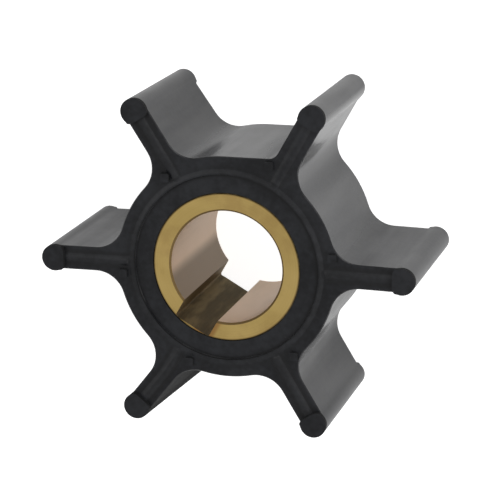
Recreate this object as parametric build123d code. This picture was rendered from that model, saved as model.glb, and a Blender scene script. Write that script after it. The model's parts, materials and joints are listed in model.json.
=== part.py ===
"""Flexible pump impeller: a black rubber moulding with six vanes, bonded on a keyed brass bush.

Sizes are in millimetres. The origin is on the bore axis, at the plane of the lower vane tips,
and +Z points up to the face that the picture shows. The vanes are numbered anticlockwise
seen from above, the first one at 30 degrees from +X, and the keyway points to -Y.
"""
from build123d import *
import math
import os

# Whole moulding
overall_dia = 40.2            # over the rounded vane tips
overall_height = 17.5         # over the raised tips, both ends
vane_count = 6
first_vane_angle = 30.0

# Hub
hub_dia = 23.6
root_fillet = 3.1             # blend from a vane into the hub
end_edge_bevel = 0.1          # soft edge of the moulding's two end faces
end_recess = 0.5              # end face of hub and vanes, below the raised tips

# Vanes
vane_thickness = 2.55
tip_bead_dia = 2.8            # round bead along each tip
neck_round = 2.5              # blend between vane and bead
tip_cap_length = 2.4          # raised D-shaped cap on each bead end, measured inwards from the tip
cap_foot_width = 3.1          # over the cap's rounded inner corners, where the vane's sides trim them
cap_corner_round = 0.9
# Set that the soft vanes have taken at each end, in degrees, positive anticlockwise, and where they bend
upper_set = (-0.9, 0.5, 2.4, 0.5, -8.8, 0.9)
lower_set = (-0.9, 0.5, 4.8, 0.5, 3.0, 0.9)
bend_radius = 14.0            # from the bore axis

# The one vane root that is moulded flat, on the vane's left side seen from above
flat_root_vane = 1
flat_root_round = 1.2

# Low sealing ridge on each end of the hub, where it steps down to the bush
ridge_dia = 20.0              # middle of the ridge's crest
ridge_crest = 0.15
ridge_height = 0.12           # above the end face of the hub
ridge_inner_slope = 0.1
ridge_outer_slope = 0.42

# Shallow rounded rib along each vane end, from the ridge to the tip cap
rib_width = 1.0
rib_height = 0.08

# Small square pad beside each vane root, upper end only, all turned the same way
pad_size = 0.9
pad_height = 0.3              # above the end face
pad_corner = 0.15
pad_turn = 30.0
pad_along = (11.4, 12.0, 11.2, 11.2, 11.1, 11.4)  # from the bore axis, along each vane
pad_side = (1.8, 1.4, 0.9, 1.3, 1.7, 1.8)         # to the left of each vane's middle plane

# Brass bush
bore_dia = 12.0
bush_wall = 1.95
bush_recess_top = 0.7         # bush end below the raised tips, upper end
bush_recess_bottom = 0.55     # the same, lower end
bush_bore_chamfer = 0.2
bush_rim_chamfer = 0.15
keyway_width = 4.15
keyway_depth = 1.65           # from the bore's surface, almost through the wall
keyway_corner = 0.25

# Worked out from the sizes above
tip_radius = overall_dia / 2
hub_radius = hub_dia / 2
bead_radius = tip_bead_dia / 2
bead_centre = tip_radius - bead_radius
bore_radius = bore_dia / 2
bush_radius = bore_radius + bush_wall
bush_top = overall_height - bush_recess_top
bush_length = bush_top - bush_recess_bottom
ridge_radius = ridge_dia / 2
cap_step = tip_radius - tip_cap_length
cap_depth = 2 * (end_recess + end_edge_bevel)
vane_pitch = 360.0 / vane_count


def root_place(index):
    """Turn from a root at +Y to its place on the hub."""
    return Rot(Z=first_vane_angle + index * vane_pitch - 90)


def vane_place(index, end_set):
    """Place of a vane that points to +Y, with the set it has taken at one end."""
    bend = Rot(Z=end_set[index % len(end_set)])
    return root_place(index) * Pos(Y=bend_radius) * bend * Pos(Y=-bend_radius)


def vane_outline():
    """One vane pointing to +Y: a flat web with a round bead at its tip."""
    web_start = hub_radius - root_fillet
    web = Pos(Y=(web_start + bead_centre) / 2) * Rectangle(vane_thickness, bead_centre - web_start)
    outline = web + Pos(Y=bead_centre) * Circle(bead_radius)
    neck = math.sqrt(bead_radius**2 - (vane_thickness / 2) ** 2)
    necks = [
        outline.vertices().sort_by_distance((side * vane_thickness / 2, bead_centre - neck))[0]
        for side in (-1, 1)
    ]
    return fillet(necks, neck_round)


def flat_root_meet():
    """Where the hub's tangent, drawn halfway between two vanes, meets the left side of a vane to +Y."""
    half_pitch = math.radians(vane_pitch / 2)
    half_web = vane_thickness / 2
    return (-half_web, (hub_radius - half_web * math.sin(half_pitch)) / math.cos(half_pitch))


def flat_root_outline():
    """Fill between the hub's crown and the flat-rooted vane, along the hub's tangent there."""
    half_pitch = math.radians(vane_pitch / 2)
    crown = (-hub_radius * math.sin(half_pitch), hub_radius * math.cos(half_pitch))
    middle = (0, hub_radius / math.cos(half_pitch))
    return root_place(flat_root_vane) * Polygon((0, 0), middle, crown, align=None)


def root_corner(index, side, end_set):
    """Where a vane's side, -1 for left and 1 for right, meets the hub's circle."""
    x = side * vane_thickness / 2
    corner = vane_place(index, end_set) * Pos(x, math.sqrt(hub_radius**2 - x**2))
    return corner.position


def moulding_outline(end_set):
    """Cross-section of hub and vanes at one end, with every root blended."""
    outline = Circle(hub_radius)
    for index in range(vane_count):
        outline += vane_place(index, end_set) * vane_outline()
    outline += flat_root_outline()

    flat_corner = (vane_place(flat_root_vane, end_set) * Pos(*flat_root_meet())).position
    outline = fillet(outline.vertices().sort_by_distance(flat_corner)[0], flat_root_round)

    roots = []
    for index in range(vane_count):
        for side in (-1, 1):
            if (index, side) != (flat_root_vane, -1):
                corner = root_corner(index, side, end_set)
                roots.append(outline.vertices().sort_by_distance(corner)[0])
    return fillet(roots, root_fillet)


def plain_moulding():
    """Hub and vanes at full height, each vane turning from its lower set to its upper set."""
    return loft([moulding_outline(lower_set), Pos(Z=overall_height) * moulding_outline(upper_set)], ruled=True)


def ridge(annulus_depth):
    """Sealing ridge on the lower end: a ring with sloping flanks, down to the annulus inside it."""
    crest = end_recess - ridge_height
    inner = ridge_radius - ridge_crest / 2
    outer = ridge_radius + ridge_crest / 2
    buried = end_recess + annulus_depth
    profile = Polygon(
        (inner - ridge_inner_slope, buried),
        (inner - ridge_inner_slope, annulus_depth),
        (inner, crest),
        (outer, crest),
        (outer + ridge_outer_slope, end_recess),
        (outer + ridge_outer_slope, buried),
        align=None,
    )
    return revolve(Plane.XZ * profile, Axis.Z)


def rib():
    """Shallow rounded rib along the lower end of the vane that points to +Y."""
    half = rib_width / 2
    crown = ThreePointArc((-half, end_recess), (0, end_recess - rib_height), (half, end_recess))
    foot = Polyline((half, end_recess), (half, 2 * end_recess), (-half, 2 * end_recess), (-half, end_recess))
    length = cap_step - ridge_radius + cap_corner_round
    face = Plane((0, ridge_radius + length, 0), x_dir=(1, 0, 0), z_dir=(0, -1, 0)) * make_face(crown + foot)
    return extrude(face, length)


def tip_cap(moulding, place):
    """Raised cap on the lower end of one bead, with rounded inner corners, cut from the plain moulding."""
    keep_length = 2 * tip_cap_length
    keep = Pos(Y=cap_step + keep_length / 2) * RectangleRounded(cap_foot_width, keep_length, cap_corner_round)
    return moulding & (place * extrude(keep, cap_depth))


def end_features(moulding, end_set, annulus_depth):
    """Everything that stands up from the lower end face."""
    features = ridge(annulus_depth)
    for index in range(vane_count):
        place = vane_place(index, end_set)
        features += place * rib()
        features += tip_cap(moulding, place)
    return features


def root_pads():
    """Small pads beside the vane roots, on the upper end."""
    outline = Rot(Z=pad_turn) * RectangleRounded(pad_size, pad_size, pad_corner)
    foot = overall_height - end_recess - pad_height
    pads = []
    for index, (along, side) in enumerate(zip(pad_along, pad_side)):
        spot = (root_place(index) * Pos(-side, along)).position
        pads.append(Pos(spot.X, spot.Y, foot) * extrude(outline, 2 * pad_height))
    return pads


def make_rubber():
    """The whole rubber moulding, one solid."""
    moulding = plain_moulding()
    body_height = overall_height - 2 * end_recess
    body = moulding & (Pos(Z=overall_height / 2) * Box(2 * overall_dia, 2 * overall_dia, body_height))
    ends = body.edges().group_by(Axis.Z)[0] + body.edges().group_by(Axis.Z)[-1]
    body = chamfer(ends, end_edge_bevel)

    inside_ridge = ridge_radius - ridge_crest / 2
    body -= Cylinder(inside_ridge, bush_recess_bottom, align=(Align.CENTER, Align.CENTER, Align.MIN))
    body -= Pos(Z=bush_top) * Cylinder(inside_ridge, bush_recess_top, align=(Align.CENTER, Align.CENTER, Align.MIN))
    middle = Plane.XY.offset(overall_height / 2)
    body += end_features(moulding, lower_set, bush_recess_bottom)
    body += mirror(end_features(mirror(moulding, middle), upper_set, bush_recess_top), middle)
    for pad in root_pads():
        body += pad
    body -= Cylinder(bush_radius, 2 * overall_height)
    return body


def make_bush():
    """Brass bush with chamfered ends and one keyway broached almost through its wall."""
    bush = Cylinder(bush_radius, bush_length) - Cylinder(bore_radius, bush_length)
    ends = bush.edges().filter_by(GeomType.CIRCLE)
    bush = chamfer(ends.filter_by(lambda e: e.radius < bush_radius - bush_wall / 2), bush_bore_chamfer)
    ends = bush.edges().filter_by(GeomType.CIRCLE)
    bush = chamfer(ends.filter_by(lambda e: e.radius > bush_radius - bush_wall / 4), bush_rim_chamfer)

    floor = bore_radius + keyway_depth
    slot = Pos(Y=-floor / 2) * Rectangle(keyway_width, floor)
    slot = fillet(slot.vertices().group_by(Axis.Y)[0], keyway_corner)
    bush -= Pos(Z=-bush_length) * extrude(slot, 2 * bush_length)
    return Pos(Z=(bush_recess_bottom + bush_top) / 2) * bush


os.makedirs("parts", exist_ok=True)
export_step(make_rubber(), "parts/rubber_impeller.step")
export_step(make_bush(), "parts/brass_bush.step")
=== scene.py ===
import json
import math

import bmesh
import bpy
from mathutils import Matrix, Vector


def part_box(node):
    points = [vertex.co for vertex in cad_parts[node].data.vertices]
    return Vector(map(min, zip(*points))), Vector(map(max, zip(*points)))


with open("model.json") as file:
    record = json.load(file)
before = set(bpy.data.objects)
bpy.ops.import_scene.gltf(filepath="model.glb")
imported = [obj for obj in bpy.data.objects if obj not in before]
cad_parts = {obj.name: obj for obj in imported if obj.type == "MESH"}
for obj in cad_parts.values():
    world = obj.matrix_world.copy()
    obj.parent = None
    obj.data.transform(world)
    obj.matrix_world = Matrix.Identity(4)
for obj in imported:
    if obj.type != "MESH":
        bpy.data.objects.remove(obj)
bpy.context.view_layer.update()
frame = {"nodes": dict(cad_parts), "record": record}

# Lengths are in metres and angles in degrees. A radius is measured from the bore's axis, and a height from
# the lower tips. A pair of values is where a finish begins to change and where the change is done. Four
# values are where a finish begins, where it is full, where it begins to fade and where it has ended.

# The part, from the frame
impeller = frame["nodes"]["rubber_impeller"]
bush = frame["nodes"]["brass_bush"]
mounts = {mount["name"]: mount for mount in frame["record"]["mounts"]}
bore_radius = mounts["bore"]["dims"]["r_mm"] / 1000
bush_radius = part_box("brass_bush")[1][0]
moulding_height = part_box("rubber_impeller")[1][2]
end_recess = 0.0005           # end faces of hub and vanes, below the raised tips
end_height = moulding_height - end_recess
end_reach = moulding_height / 2 - end_recess    # both end faces, from the middle of the height
vane_count = 6
first_vane = 30.0             # from +X
half_pitch = 180.0 / vane_count

# Camera, as the photograph was taken
camera_aim = Vector((0.000327, -0.000092, 0.008751))
camera_azimuth = 74.08
camera_elevation = 67.68
camera_distance = 0.2335
camera_roll = -132.44
camera_lens = 157.4           # in millimetres, as the sensor is
camera_clip = (0.01, 10.0)
sensor_width = 36.0

# Light
world_strength = 0.4
lamp_distance = 0.6
lamp_size = 0.35
lamps = {                     # azimuth, elevation and power
    "right": (0, 30, 1.55),
    "front": (90, 36, 1.4),
    "left": (190, 45, 0.3),
}

# Floor
floor_half_size = 1.5
floor_gap = 0.00002
floor_color = (0.8, 0.8, 0.8)
floor_white = 0.90            # shown to the camera on top of the lit floor
floor_glow = 0.444            # share of that white in reflections
pure_white = (1.0, 1.0, 1.0)

# Rubber colours, and how much of each covers what is under it
# the darkest is painted shade, laid on feet, flanks, steps and one vane side
rubber_painted_shade = (0.0010, 0.0010, 0.0012)
rubber_deep = (0.0034, 0.0037, 0.0050)
rubber_pale = (0.0138, 0.0147, 0.0178)
# pale colour of the walls' bloom, partly painted sheen, and of the painted highlight on crowns
rubber_bloom_and_highlight = (0.046, 0.046, 0.047)
rubber_dust = (0.045, 0.044, 0.042)
pit_share = 0.5               # of the mottling, and the clouds have the rest
dust_share = 0.35
crown_highlight_share = 0.13            # painted highlight on the crowns of the ribs
ridge_highlight_share = 0.7             # of that, on the crown of the sealing ridge
slope_shade_share = 0.3             # painted shade on sloping flanks
foot_shade_share = 0.6              # painted shade at the feet of ribs and ridge
outer_foot_shade_share = 0.5        # of that, at the ridge's outer foot

# Rubber patterns: scale, detail, and for those drawn out along the bore the share of their scale there
rubber_cloud = (260.0, 3.0)
rubber_pits = (1700.0, 3.0)
rubber_grain = (5200.0, 2.0)
rubber_specks = (2600.0, 2.0)
rubber_streaks = (1400.0, 2.0, 0.08)
rubber_waves = (240.0, 2.0, 0.12)
rubber_patches = (230.0, 2.0, 0.14)
mottle_change = (0.32, 0.68)
bloom_and_sheen_change = (0.40, 0.72)
dust_change = (0.72, 0.80)
cloud_change = (0.3, 0.7)     # of the brass too

# Rubber relief: strength and depth
wave_relief = (1.0, 0.00016)
rib_relief = (1.0, 0.00009)
pit_relief = (0.6, 0.000008)
grain_relief = (0.5, 0.000004)

# Rubber gloss, with the least and the most roughness
wall_roughness = (0.30, 0.37)
end_roughness = (0.40, 0.50)
# roughness of the places where shade is painted
painted_shade_roughness = 0.95
streak_share = 0.4            # of the pattern on the walls, and the clouds have the rest
crown_polish = 0.06           # taken off the roughness of the end faces
hub_polish = 0.7              # share of the walls' roughness that is left round the hub
side_polish = 0.5             # and on the shiny side
rubber_ior = 1.45

# Where the rubber's finishes, its painted shade and its painted highlights lie. Level is 1 on the end faces
# and 0 on the upright walls.
end_level = (0.5, 0.9)
marked_level = (0.5, 0.8)     # what the ribs and the ridge mark
sloping_level = (0.5, 0.8, 0.962, 0.990)
steep_level = (0.5, 0.3)
step_height = (end_height - 0.00004, end_height)    # the sides of caps and pads stand above this; shade is painted on them
hub_edge = (0.0119, 0.0130)   # radius at which the smoother hub gives way to the vanes
vane_root = (0.0115, 0.0123)  # y, either way, at which the two odd sides begin
shaded_side_band = (-0.0005, -0.0001, 0.0045, 0.0049)    # x, on the vane that points to -Y, whose wall gets painted shade and a rough finish
shiny_side = (0.0009, 0.0013, 0.0030, 0.0034)      # x, on the vane that points to +Y, rubbed smooth
lean_start = 0.014            # how far from the axis the vane that points to -Y begins to lean
lean_below = 3.0              # its lean at the lower end, and at the upper end
lean_above = -8.8
lean_y = -0.011               # only that vane reaches beyond this y

# Ribs and sealing ridge
end_band = (end_reach - 0.00045, end_reach - 0.00035, end_reach + 0.00015, end_reach + 0.00025)
rib_start = (0.0105, 0.0108)  # radius
rib_width = (0.0006, 0.0)     # from the vane's middle plane, as are the grooves of painted shade beside the rib
rib_groove_shade = (0.00035, 0.00060, 0.00070, 0.00110)
faint_rib_y = (0.0100, 0.0115)    # the rib of the vane that points to +Y hardly shows
faint_rib = 0.3
ridge_crown = (0.00998, 0.01010, 0.01030, 0.01048)    # radius, as are the bands of painted shade at its feet; its crown gets a painted highlight
ridge_inner_shade = (0.00950, 0.00978, 0.00988, 0.00994)
ridge_outer_shade = (0.01046, 0.01058, 0.01070, 0.01110)

# Brass colours, and how much of each covers what is under it
brass_deep = (0.75, 0.52, 0.16)
brass_bright = (0.88, 0.63, 0.21)
brass_pale = (0.92, 0.71, 0.34)
brass_patina = (0.60, 0.39, 0.14)
bore_pale = (0.83, 0.67, 0.54)
bore_tan = (0.70, 0.55, 0.40)
bore_stain = (0.50, 0.40, 0.28)
bore_dark_reflection = (0.25, 0.205, 0.155)
# the keyway's dark is painted shade, and its side colour painted light
keyway_shade = (0.065, 0.050, 0.022)
keyway_brown = (0.24, 0.185, 0.09)
keyway_lit_side = (0.30, 0.22, 0.12)
# painted shade on the chamfer at the bore's edge
bevel_shade = (0.26, 0.18, 0.08)
rim_tarnish = (0.26, 0.15, 0.05)
burr_tarnish = (0.50, 0.24, 0.08)
pale_share = 0.35
patina_share = 0.5
rim_share = 0.8
burr_share = 0.75
tan_share = 0.6
stain_share = 0.3
dark_reflection_share = 0.85
broach_share = 0.4            # of the keyway's pattern, and the blotches have the rest

# Brass patterns, as the rubber's, with the patina's own roughness last
brass_cloud = (320.0, 3.0)
patina_patches = (260.0, 4.0, 1.0, 0.6)
bore_stains = (500.0, 3.0, 0.2)
keyway_blotches = (1100.0, 4.0, 0.22)
broach_marks = (3600.0, 3.0, 0.03)
turned_rings = (7000.0, 3.0)  # by radius
turned_bore = (5200.0, 3.0)   # by height
patina_change = (0.42, 0.66)
stain_change = (0.4, 0.8)
blotch_change = (0.35, 0.7)

# Brass relief: strength and depth
ring_relief = (0.5, 0.000004)
bore_relief = (0.5, 0.000008)
broach_relief = (0.7, 0.00002)

# Brass gloss, with the least and the most roughness
face_roughness = (0.28, 0.38)
inner_roughness = (0.40, 0.55)    # of the bore and of the keyway
bevel_roughness = 0.8

# Where the brass's finishes, and its painted shade, light and reflection, lie
face_level = (0.86, 0.96)
bevel_level = (0.2, 0.4)
# facing along X, where the keyway's side walls are painted lighter as if lit
keyway_side_facing = (0.5, 0.9)
bore_edge = (bore_radius + 0.00004, bore_radius + 0.00010)    # the keyway lies beyond it
bevel_edge = (bore_radius + 0.00040, bore_radius + 0.00028)
rim_edge = (bush_radius - 0.00032, bush_radius - 0.00008)     # dark edge of the end faces
burr_x = (0.0, 0.0005, 0.00225, 0.00275)    # tarnished burr beside the keyway
burr_y = -0.005
# where the bore's wall gets a painted dark reflection
dark_reflection_x = (0.001, -0.001)
dark_reflection_y = (-0.0032, -0.0044)


def direction(azimuth, elevation):
    """Unit vector from the part towards a place given by two angles, from +X and from the floor."""
    turn = math.radians(azimuth)
    lift = math.radians(elevation)
    return Vector((math.cos(turn) * math.cos(lift), math.sin(turn) * math.cos(lift), math.sin(lift)))


class Finish:
    """A node material, with a short call for each kind of node that it is made of."""

    def __init__(self, name):
        self.material = bpy.data.materials.new(name)
        self.material.use_nodes = True
        self.tree = self.material.node_tree
        self.tree.nodes.clear()

    def node(self, kind, **settings):
        """A new node with its settings."""
        made = self.tree.nodes.new(kind)
        for name, value in settings.items():
            setattr(made, name, value)
        return made

    def feed(self, socket, value):
        """Gives a socket a number, a vector, a colour or another node's output."""
        if isinstance(value, bpy.types.NodeSocket):
            self.tree.links.new(value, socket)
        elif socket.type == "RGBA":
            socket.default_value = (*value, 1.0)
        else:
            socket.default_value = value

    def compute(self, operation, *values):
        """One Math node, with its inputs in their order."""
        made = self.node("ShaderNodeMath", operation=operation)
        for socket, value in zip(made.inputs, values):
            self.feed(socket, value)
        return made.outputs[0]

    def product(self, first, *others):
        """All the given values multiplied."""
        for other in others:
            first = self.compute("MULTIPLY", first, other)
        return first

    def largest(self, first, *others):
        """The largest of the given values at each point."""
        for other in others:
            first = self.compute("MAXIMUM", first, other)
        return first

    def rest_of(self, share):
        """What a share from 0 to 1 leaves over."""
        return self.compute("SUBTRACT", 1.0, share)

    def scaled(self, value, low, high, at_low, at_high, way):
        """Goes from at_low to at_high as the value goes from low to high."""
        made = self.node("ShaderNodeMapRange", interpolation_type=way)
        sockets = ("Value", "From Min", "From Max", "To Min", "To Max")
        for name, setting in zip(sockets, (value, low, high, at_low, at_high)):
            self.feed(made.inputs[name], setting)
        return made.outputs["Result"]

    def ease(self, value, start, end, at_start=0.0, at_end=1.0):
        """Goes softly from at_start to at_end as the value goes, up or down, from start to end."""
        if start < end:
            return self.scaled(value, start, end, at_start, at_end, "SMOOTHSTEP")
        return self.scaled(value, end, start, at_end, at_start, "SMOOTHSTEP")

    def band(self, value, start, full, fading, end):
        """1 where the value is between full and fading, easing to 0 at start and at end."""
        return self.product(self.ease(value, start, full), self.ease(value, end, fading))

    def blend(self, share, first, second):
        """A number between two others, by the share of the second."""
        made = self.node("ShaderNodeMix", data_type="FLOAT")
        for index, value in zip((0, 2, 3), (share, first, second)):
            self.feed(made.inputs[index], value)
        return made.outputs[0]

    def cover(self, under, over, *shares):
        """A colour with another laid over it, by the product of the shares."""
        made = self.node("ShaderNodeMix", data_type="RGBA")
        for index, value in zip((0, 6, 7), (self.product(*shares), under, over)):
            self.feed(made.inputs[index], value)
        return made.outputs[2]

    def noise(self, scale, detail, along=1.0, roughness=0.5):
        """Noise from 0 to 1, drawn out along the bore where its scale there is only a share."""
        place = self.place
        if along != 1.0:
            mapping = self.node("ShaderNodeMapping")
            self.feed(mapping.inputs["Vector"], place)
            self.feed(mapping.inputs["Scale"], (1.0, 1.0, along))
            place = mapping.outputs["Vector"]
        made = self.node("ShaderNodeTexNoise")
        sockets = ("Vector", "Scale", "Detail", "Roughness")
        for name, setting in zip(sockets, (place, scale, detail, roughness)):
            self.feed(made.inputs[name], setting)
        return made.outputs["Fac"]

    def line_noise(self, value, scale, detail):
        """Noise along one value only, such as rings by their radius."""
        made = self.node("ShaderNodeTexNoise", noise_dimensions="1D")
        for name, setting in zip(("W", "Scale", "Detail"), (value, scale, detail)):
            self.feed(made.inputs[name], setting)
        return made.outputs["Fac"]

    def relief(self, height, strength, depth, under=None):
        """Relief from a height, on top of another relief if given."""
        made = self.node("ShaderNodeBump")
        for name, value in zip(("Height", "Strength", "Distance"), (height, strength, depth)):
            self.feed(made.inputs[name], value)
        if under is not None:
            self.feed(made.inputs["Normal"], under)
        return made.outputs["Normal"]

    def find_place(self):
        """Where each point is, how level the surface is there, and how far it faces sideways along X."""
        coordinates = self.node("ShaderNodeTexCoord")
        self.place = coordinates.outputs["Object"]
        split = self.node("ShaderNodeSeparateXYZ")
        self.feed(split.inputs["Vector"], self.place)
        self.x, self.y, self.height = split.outputs
        squares = self.compute("ADD", self.product(self.x, self.x), self.product(self.y, self.y))
        self.radius = self.compute("SQRT", squares)
        facing = self.node("ShaderNodeSeparateXYZ")
        self.feed(facing.inputs["Vector"], coordinates.outputs["Normal"])
        self.level = self.compute("ABSOLUTE", facing.outputs["Z"])
        self.sideways = self.compute("ABSOLUTE", facing.outputs["X"])

    def surface(self, color, roughness, normal, **constants):
        """The shader of a solid surface. Constants are set on its own sockets."""
        shader = self.node("ShaderNodeBsdfPrincipled")
        self.feed(shader.inputs["Base Color"], color)
        self.feed(shader.inputs["Roughness"], roughness)
        self.feed(shader.inputs["Normal"], normal)
        for name, value in constants.items():
            shader.inputs[name].default_value = value
        self.show(shader.outputs["BSDF"])

    def show(self, shader):
        """Sends a shader to the material's output."""
        output = self.node("ShaderNodeOutputMaterial")
        self.feed(output.inputs["Surface"], shader)


def vane_side(rubber, toward, *across):
    """1 in a band of x on the vane that points to +Y (toward 1) or -Y (toward -1), and 0 elsewhere."""
    outwards = rubber.product(rubber.y, toward)
    return rubber.product(rubber.band(rubber.x, *across), rubber.ease(outwards, *vane_root))


def distance_from_vane(rubber):
    """How far a point is from the middle plane of its own vane, with the lean of the one that leans."""
    turn = rubber.compute("ARCTAN2", rubber.y, rubber.x)
    turn = rubber.compute("SUBTRACT", turn, math.radians(first_vane))
    turn = rubber.compute("WRAP", turn, math.radians(half_pitch), math.radians(-half_pitch))
    across = rubber.product(rubber.radius, rubber.compute("SINE", turn))
    along = rubber.product(rubber.radius, rubber.compute("COSINE", turn))
    past_bend = rubber.largest(rubber.compute("SUBTRACT", along, lean_start), 0.0)
    below = math.tan(math.radians(lean_below))
    above = math.tan(math.radians(lean_above))
    lean = rubber.scaled(rubber.height, 0.0, moulding_height, below, above, "LINEAR")
    shift = rubber.product(past_bend, lean, rubber.compute("LESS_THAN", rubber.y, lean_y))
    return rubber.compute("ABSOLUTE", rubber.compute("SUBTRACT", across, shift))


def ribs_and_ridge(rubber):
    """Where the ribs are, their crowns with the sealing ridge's, which get a painted highlight, and the
    painted shade at the feet of both.
    """
    from_middle = rubber.compute("ABSOLUTE", rubber.compute("SUBTRACT", rubber.height, moulding_height / 2))
    on_end = rubber.product(rubber.band(from_middle, *end_band), rubber.ease(rubber.level, *marked_level))
    from_vane = distance_from_vane(rubber)
    on_vane = rubber.product(on_end, rubber.ease(rubber.radius, *rib_start))
    on_vane = rubber.product(on_vane, rubber.ease(rubber.y, *faint_rib_y, 1.0, faint_rib))
    rib = rubber.product(on_vane, rubber.ease(from_vane, *rib_width))
    ridge = rubber.product(on_end, rubber.band(rubber.radius, *ridge_crown))
    crown_highlight = rubber.largest(rib, rubber.product(ridge, ridge_highlight_share))

    rib_foot_shade = rubber.product(on_vane, rubber.band(from_vane, *rib_groove_shade))
    outer_foot_shade = rubber.product(rubber.band(rubber.radius, *ridge_outer_shade), outer_foot_shade_share)
    ridge_foot_shade = rubber.largest(rubber.band(rubber.radius, *ridge_inner_shade), outer_foot_shade)
    ridge_foot_shade = rubber.product(ridge_foot_shade, on_end)
    foot_shade = rubber.product(rubber.largest(rib_foot_shade, ridge_foot_shade), rubber.rest_of(rib), foot_shade_share)
    return rib, crown_highlight, foot_shade


def flank_and_step_shade(rubber):
    """Painted shade on the sloping flanks outside the ridge, and on the sharp steps of caps and pads."""
    flank = rubber.band(rubber.level, *sloping_level)
    flank = rubber.product(flank, rubber.ease(rubber.radius, *rib_start), slope_shade_share)
    step = rubber.product(rubber.ease(rubber.level, *steep_level), rubber.ease(rubber.height, *step_height))
    return rubber.largest(flank, step)


def rubber_material():
    """Black moulded rubber: dull end faces, glossier wavy walls, a fine grain and a little dust, with
    painted shade at feet, flanks, steps and one vane side, and painted highlights on the crowns.
    """
    rubber = Finish("black_rubber")
    rubber.find_place()
    end_face = rubber.ease(rubber.level, *end_level)
    wall = rubber.rest_of(end_face)
    rib, crown_highlight, foot_shade = ribs_and_ridge(rubber)
    # Painted shade on the wall of the vane that points to -Y.
    shaded_side = rubber.product(wall, vane_side(rubber, -1, *shaded_side_band))
    shiny = vane_side(rubber, 1, *shiny_side)
    # Painted shade: flanks, steps, feet of ribs and ridge, and one vane side are laid dark and rough.
    painted_shade = rubber.largest(flank_and_step_shade(rubber), foot_shade, shaded_side)

    cloud = rubber.noise(*rubber_cloud)
    pits = rubber.noise(*rubber_pits)
    mottle = rubber.ease(rubber.blend(pit_share, cloud, pits), *mottle_change)
    bloom_and_sheen = rubber.ease(rubber.noise(*rubber_patches), *bloom_and_sheen_change)
    dust = rubber.ease(rubber.noise(*rubber_specks), *dust_change)
    color = rubber.cover(rubber_deep, rubber_pale, mottle)
    # Pale patches on the walls: partly real bloom, partly painted sheen.
    color = rubber.cover(color, rubber_bloom_and_highlight, bloom_and_sheen, wall)
    color = rubber.cover(color, rubber_dust, dust, dust_share)
    # Painted highlight: the crowns of ribs and ridge are laid paler.
    color = rubber.cover(color, rubber_bloom_and_highlight, crown_highlight, crown_highlight_share)
    color = rubber.cover(color, rubber_painted_shade, painted_shade)

    brushed = rubber.blend(streak_share, cloud, rubber.noise(*rubber_streaks))
    wall_gloss = rubber.product(rubber.ease(brushed, *cloud_change, *wall_roughness),
                                rubber.ease(rubber.radius, *hub_edge, hub_polish, 1.0),
                                rubber.ease(shiny, 0.0, 1.0, 1.0, side_polish))
    end_gloss = rubber.ease(cloud, *cloud_change, *end_roughness)
    end_gloss = rubber.compute("SUBTRACT", end_gloss, rubber.product(crown_highlight, crown_polish))
    gloss = rubber.blend(end_face, wall_gloss, end_gloss)
    gloss = rubber.largest(gloss, rubber.product(painted_shade, painted_shade_roughness))

    relief = rubber.relief(rubber.noise(*rubber_waves), *wave_relief)
    relief = rubber.relief(rib, *rib_relief, relief)
    relief = rubber.relief(pits, *pit_relief, relief)
    relief = rubber.relief(rubber.noise(*rubber_grain), *grain_relief, relief)
    rubber.surface(color, gloss, relief, IOR=rubber_ior)
    return rubber.material


def face_color(brass, rings, cloud):
    """Turned rings with pale clouds, patina, a dark rim and a tarnished burr beside the keyway."""
    patina = brass.ease(brass.noise(*patina_patches), *patina_change)
    rim = brass.ease(brass.radius, *rim_edge)
    burr = brass.product(brass.band(brass.x, *burr_x), brass.compute("LESS_THAN", brass.y, burr_y))
    color = brass.cover(brass_deep, brass_bright, rings)
    color = brass.cover(color, brass_pale, cloud, pale_share)
    color = brass.cover(color, brass_patina, patina, patina_share)
    color = brass.cover(color, rim_tarnish, rim, rim_share)
    return brass.cover(color, burr_tarnish, burr, burr_share)


def bore_color(brass, cloud):
    """Pale worn bore, with stains, and with a painted dark reflection down to one side of the keyway."""
    stains = brass.ease(brass.noise(*bore_stains), *stain_change)
    # Painted dark reflection on the bore wall beside the keyway.
    dark_reflection = brass.product(brass.ease(brass.x, *dark_reflection_x), brass.ease(brass.y, *dark_reflection_y))
    color = brass.cover(bore_pale, bore_tan, cloud, tan_share)
    color = brass.cover(color, bore_stain, stains, stain_share)
    return brass.cover(color, bore_dark_reflection, dark_reflection, dark_reflection_share)


def keyway_color(brass, broaching):
    """Broached keyway painted dark as shade, with brown blotches, and side walls painted lighter as if lit.
    """
    blotches = brass.ease(brass.noise(*keyway_blotches), *blotch_change)
    color = brass.cover(keyway_shade, keyway_brown, brass.blend(broach_share, blotches, broaching))
    return brass.cover(color, keyway_lit_side, brass.ease(brass.sideways, *keyway_side_facing))


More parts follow.
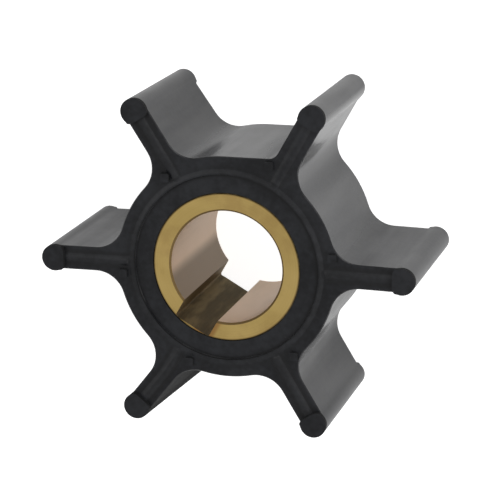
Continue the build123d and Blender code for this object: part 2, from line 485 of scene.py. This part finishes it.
def brass_material():
    """Turned brass: fine rings on the end faces, a paler worn bore and a broached keyway painted dark as
    shade.
    """
    brass = Finish("turned_brass")
    brass.find_place()
    end_face = brass.ease(brass.level, *face_level)
    inside = brass.rest_of(end_face)
    bevel = brass.product(brass.ease(brass.level, *bevel_level), inside)
    beyond_bore = brass.ease(brass.radius, *bore_edge)
    in_bore = brass.product(inside, brass.rest_of(beyond_bore))
    in_keyway = brass.product(inside, beyond_bore)

    cloud = brass.noise(*brass_cloud)
    rings = brass.line_noise(brass.radius, *turned_rings)
    turning = brass.line_noise(brass.height, *turned_bore)
    broaching = brass.noise(*broach_marks)
    color = brass.cover(bore_color(brass, cloud), keyway_color(brass, broaching), beyond_bore)
    color = brass.cover(color, face_color(brass, rings, cloud), end_face)
    # Painted shade on the chamfer at the bore's edge.
    color = brass.cover(color, bevel_shade, bevel, brass.ease(brass.radius, *bevel_edge))

    face_gloss = brass.ease(cloud, *cloud_change, *face_roughness)
    inner_gloss = brass.ease(beyond_bore, 0.0, 1.0, *inner_roughness)
    gloss = brass.blend(end_face, inner_gloss, face_gloss)
    gloss = brass.largest(gloss, brass.product(bevel, bevel_roughness))

    relief = brass.relief(brass.product(rings, end_face), *ring_relief)
    relief = brass.relief(brass.product(turning, in_bore), *bore_relief, relief)
    relief = brass.relief(brass.product(broaching, in_keyway), *broach_relief, relief)
    brass.surface(color, gloss, relief, Metallic=1.0)
    return brass.material


def floor_material():
    """White studio floor: white to the camera and in reflections, and it keeps a faint shadow."""
    floor = Finish("studio_floor")
    path = floor.node("ShaderNodeLightPath")
    reflected = floor.product(path.outputs["Is Glossy Ray"], floor_glow)
    seen = floor.compute("ADD", path.outputs["Is Camera Ray"], reflected)
    seen = floor.compute("ADD", seen, path.outputs["Is Transmission Ray"])
    lit = floor.node("ShaderNodeBsdfDiffuse")
    floor.feed(lit.inputs["Color"], floor_color)
    glow = floor.node("ShaderNodeEmission")
    floor.feed(glow.inputs["Color"], pure_white)
    floor.feed(glow.inputs["Strength"], floor.product(seen, floor_white))
    both = floor.node("ShaderNodeAddShader")
    floor.feed(both.inputs[0], lit.outputs["BSDF"])
    floor.feed(both.inputs[1], glow.outputs["Emission"])
    floor.show(both.outputs["Shader"])
    return floor.material


def dress(piece, material):
    """Gives every slot of a piece one material."""
    piece.data.materials.clear()
    piece.data.materials.append(material)


def make_floor():
    """Plain floor just under the part."""
    mesh = bpy.data.meshes.new("floor")
    shape = bmesh.new()
    bmesh.ops.create_grid(shape, x_segments=1, y_segments=1, size=floor_half_size)
    bmesh.ops.translate(shape, verts=shape.verts, vec=(0, 0, -floor_gap))
    shape.to_mesh(mesh)
    shape.free()
    floor = bpy.data.objects.new("floor", mesh)
    bpy.context.collection.objects.link(floor)
    dress(floor, floor_material())


def make_world():
    """Even pale surroundings, the same to the camera and in reflections."""
    world = bpy.data.worlds.new("studio")
    world.use_nodes = True
    bpy.context.scene.world = world
    tree = world.node_tree
    tree.nodes.clear()
    output = tree.nodes.new("ShaderNodeOutputWorld")
    background = tree.nodes.new("ShaderNodeBackground")
    background.inputs["Color"].default_value = (*pure_white, 1.0)
    background.inputs["Strength"].default_value = world_strength
    tree.links.new(background.outputs["Background"], output.inputs["Surface"])


def make_lamps():
    """Square soft lamps that face the part."""
    for name, (azimuth, elevation, power) in lamps.items():
        lamp = bpy.data.lights.new(name, "AREA")
        lamp.shape = "SQUARE"
        lamp.size = lamp_size
        lamp.energy = power
        holder = bpy.data.objects.new(name, lamp)
        bpy.context.collection.objects.link(holder)
        away = direction(azimuth, elevation)
        holder.location = away * lamp_distance
        holder.rotation_euler = away.to_track_quat("Z", "Y").to_euler()


def make_camera():
    """Camera at the photograph's place, turned about its own axis as the photograph is."""
    data = bpy.data.cameras.new("camera")
    data.sensor_width = sensor_width
    data.lens = camera_lens
    data.clip_start, data.clip_end = camera_clip
    camera = bpy.data.objects.new("camera", data)
    bpy.context.collection.objects.link(camera)
    back = direction(camera_azimuth, camera_elevation)
    camera.location = camera_aim + back * camera_distance
    look = back.to_track_quat("Z", "Y").to_matrix()
    camera.rotation_euler = (look @ Matrix.Rotation(math.radians(camera_roll), 3, "Z")).to_euler()
    bpy.context.scene.camera = camera


dress(impeller, rubber_material())
dress(bush, brass_material())
make_floor()
make_world()
make_lamps()
make_camera()
bpy.context.scene.view_settings.view_transform = "Standard"
